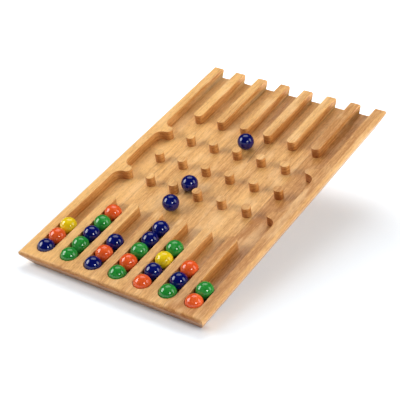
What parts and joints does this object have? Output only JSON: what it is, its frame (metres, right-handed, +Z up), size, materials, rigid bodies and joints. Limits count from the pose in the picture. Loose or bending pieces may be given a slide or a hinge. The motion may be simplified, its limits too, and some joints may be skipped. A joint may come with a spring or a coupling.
{
  "type": "galton board",
  "caption": "Sloping hardwood board with milled start lanes, staggered pegs and collecting bins; glass marbles roll down it and pile up as a distribution.",
  "frame": {"origin": "on the table, under the middle of the board's box", "axes": "+X to the right as a player faces the bins, +Y up the slope towards the start lanes, +Z up"},
  "size_m": [0.1938, 0.3046, 0.0875],
  "materials": {
    "panel_wood": "oiled light hardwood, fine grain along the slope",
    "foot_wood": "oiled light hardwood",
    "glass_blue": "opaque glossy glass",
    "glass_green": "opaque glossy glass",
    "glass_orange": "opaque glossy glass",
    "glass_yellow": "opaque glossy glass"
  },
  "bodies": {
    "board": {"left_outer_stave": "panel_wood", "left_inner_stave": "panel_wood", "centre_stave": "panel_wood", "right_inner_stave": "panel_wood", "right_outer_stave": "panel_wood", "prop_foot": "foot_wood"},
    "bin_1_marble_1": {"bin_1_marble_1": "glass_blue"},
    "bin_1_marble_2": {"bin_1_marble_2": "glass_orange"},
    "bin_1_marble_3": {"bin_1_marble_3": "glass_yellow"},
    "bin_2_marble_1": {"bin_2_marble_1": "glass_green"},
    "bin_2_marble_2": {"bin_2_marble_2": "glass_green"},
    "bin_2_marble_3": {"bin_2_marble_3": "glass_blue"},
    "bin_2_marble_4": {"bin_2_marble_4": "glass_green"},
    "bin_2_marble_5": {"bin_2_marble_5": "glass_orange"},
    "bin_3_marble_1": {"bin_3_marble_1": "glass_blue"},
    "bin_3_marble_2": {"bin_3_marble_2": "glass_orange"},
    "bin_3_marble_3": {"bin_3_marble_3": "glass_blue"},
    "bin_4_marble_1": {"bin_4_marble_1": "glass_green"},
    "bin_4_marble_2": {"bin_4_marble_2": "glass_orange"},
    "bin_4_marble_3": {"bin_4_marble_3": "glass_green"},
    "bin_4_marble_4": {"bin_4_marble_4": "glass_blue"},
    "bin_4_marble_5": {"bin_4_marble_5": "glass_blue"},
    "bin_5_marble_1": {"bin_5_marble_1": "glass_orange"},
    "bin_5_marble_2": {"bin_5_marble_2": "glass_blue"},
    "bin_5_marble_3": {"bin_5_marble_3": "glass_yellow"},
    "bin_5_marble_4": {"bin_5_marble_4": "glass_green"},
    "bin_6_marble_1": {"bin_6_marble_1": "glass_green"},
    "bin_6_marble_2": {"bin_6_marble_2": "glass_blue"},
    "bin_6_marble_3": {"bin_6_marble_3": "glass_orange"},
    "bin_7_marble_1": {"bin_7_marble_1": "glass_orange"},
    "bin_7_marble_2": {"bin_7_marble_2": "glass_green"},
    "upper_rolling_marble": {"upper_rolling_marble": "glass_blue"},
    "middle_rolling_marble": {"middle_rolling_marble": "glass_blue"},
    "lower_rolling_marble": {"lower_rolling_marble": "glass_blue"}
  },
  "joints": [
    {"name": "bin_1_marble_1_lift", "type": "slide", "parent": "board", "child": "bin_1_marble_1", "axis": [0, -0.2334, 0.9724], "range_m": [0, 0.02]},
    {"name": "bin_1_marble_2_lift", "type": "slide", "parent": "board", "child": "bin_1_marble_2", "axis": [0, -0.2334, 0.9724], "range_m": [0, 0.02]},
    {"name": "bin_1_marble_3_roll", "type": "slide", "parent": "board", "child": "bin_1_marble_3", "axis": [0, 0.9724, 0.2334], "range_m": [0, 0.0755]},
    {"name": "bin_2_marble_1_lift", "type": "slide", "parent": "board", "child": "bin_2_marble_1", "axis": [0, -0.2334, 0.9724], "range_m": [0, 0.02]},
    {"name": "bin_2_marble_2_lift", "type": "slide", "parent": "board", "child": "bin_2_marble_2", "axis": [0, -0.2334, 0.9724], "range_m": [0, 0.02]},
    {"name": "bin_2_marble_3_lift", "type": "slide", "parent": "board", "child": "bin_2_marble_3", "axis": [0, -0.2334, 0.9724], "range_m": [0, 0.02]},
    {"name": "bin_2_marble_4_lift", "type": "slide", "parent": "board", "child": "bin_2_marble_4", "axis": [0, -0.2334, 0.9724], "range_m": [0, 0.02]},
    {"name": "bin_2_marble_5_roll", "type": "slide", "parent": "board", "child": "bin_2_marble_5", "axis": [0, 0.9724, 0.2334], "range_m": [0, 0.0439]},
    {"name": "bin_3_marble_1_lift", "type": "slide", "parent": "board", "child": "bin_3_marble_1", "axis": [0, -0.2334, 0.9724], "range_m": [0, 0.02]},
    {"name": "bin_3_marble_2_lift", "type": "slide", "parent": "board", "child": "bin_3_marble_2", "axis": [0, -0.2334, 0.9724], "range_m": [0, 0.02]},
    {"name": "bin_3_marble_3_roll", "type": "slide", "parent": "board", "child": "bin_3_marble_3", "axis": [0, 0.9724, 0.2334], "range_m": [0, 0.04857]},
    {"name": "bin_4_marble_1_lift", "type": "slide", "parent": "board", "child": "bin_4_marble_1", "axis": [0, -0.2334, 0.9724], "range_m": [0, 0.02]},
    {"name": "bin_4_marble_2_lift", "type": "slide", "parent": "board", "child": "bin_4_marble_2", "axis": [0, -0.2334, 0.9724], "range_m": [0, 0.02]},
    {"name": "bin_4_marble_3_lift", "type": "slide", "parent": "board", "child": "bin_4_marble_3", "axis": [0, -0.2334, 0.9724], "range_m": [0, 0.02]},
    {"name": "bin_4_marble_4_lift", "type": "slide", "parent": "board", "child": "bin_4_marble_4", "axis": [0, -0.2334, 0.9724], "range_m": [0, 0.02]},
    {"name": "bin_4_marble_5_roll", "type": "slide", "parent": "board", "child": "bin_4_marble_5", "axis": [0, 0.9724, 0.2334], "range_m": [0, 0.01697]},
    {"name": "bin_5_marble_1_lift", "type": "slide", "parent": "board", "child": "bin_5_marble_1", "axis": [0, -0.2334, 0.9724], "range_m": [0, 0.02]},
    {"name": "bin_5_marble_2_lift", "type": "slide", "parent": "board", "child": "bin_5_marble_2", "axis": [0, -0.2334, 0.9724], "range_m": [0, 0.02]},
    {"name": "bin_5_marble_3_lift", "type": "slide", "parent": "board", "child": "bin_5_marble_3", "axis": [0, -0.2334, 0.9724], "range_m": [0, 0.02]},
    {"name": "bin_5_marble_4_roll", "type": "slide", "parent": "board", "child": "bin_5_marble_4", "axis": [0, 0.9724, 0.2334], "range_m": [0, 0.0597]},
    {"name": "bin_6_marble_1_lift", "type": "slide", "parent": "board", "child": "bin_6_marble_1", "axis": [0, -0.2334, 0.9724], "range_m": [0, 0.02]},
    {"name": "bin_6_marble_2_lift", "type": "slide", "parent": "board", "child": "bin_6_marble_2", "axis": [0, -0.2334, 0.9724], "range_m": [0, 0.02]},
    {"name": "bin_6_marble_3_roll", "type": "slide", "parent": "board", "child": "bin_6_marble_3", "axis": [0, 0.9724, 0.2334], "range_m": [0, 0.0755]},
    {"name": "bin_7_marble_1_lift", "type": "slide", "parent": "board", "child": "bin_7_marble_1", "axis": [0, -0.2334, 0.9724], "range_m": [0, 0.02]},
    {"name": "bin_7_marble_2_roll", "type": "slide", "parent": "board", "child": "bin_7_marble_2", "axis": [0, 0.9724, 0.2334], "range_m": [0, 0.0913]},
    {"name": "upper_rolling_marble_roll", "type": "slide", "parent": "board", "child": "upper_rolling_marble", "axis": [0, 0.9724, 0.2334], "range_m": [-0.0033, 0.0871]},
    {"name": "middle_rolling_marble_roll", "type": "slide", "parent": "board", "child": "middle_rolling_marble", "axis": [0, 0.9724, 0.2334], "range_m": [-0.00705, 0.0132]},
    {"name": "lower_rolling_marble_roll", "type": "slide", "parent": "board", "child": "lower_rolling_marble", "axis": [0, 0.9724, 0.2334], "range_m": [-0.0075, 0.00705]}
  ]
}
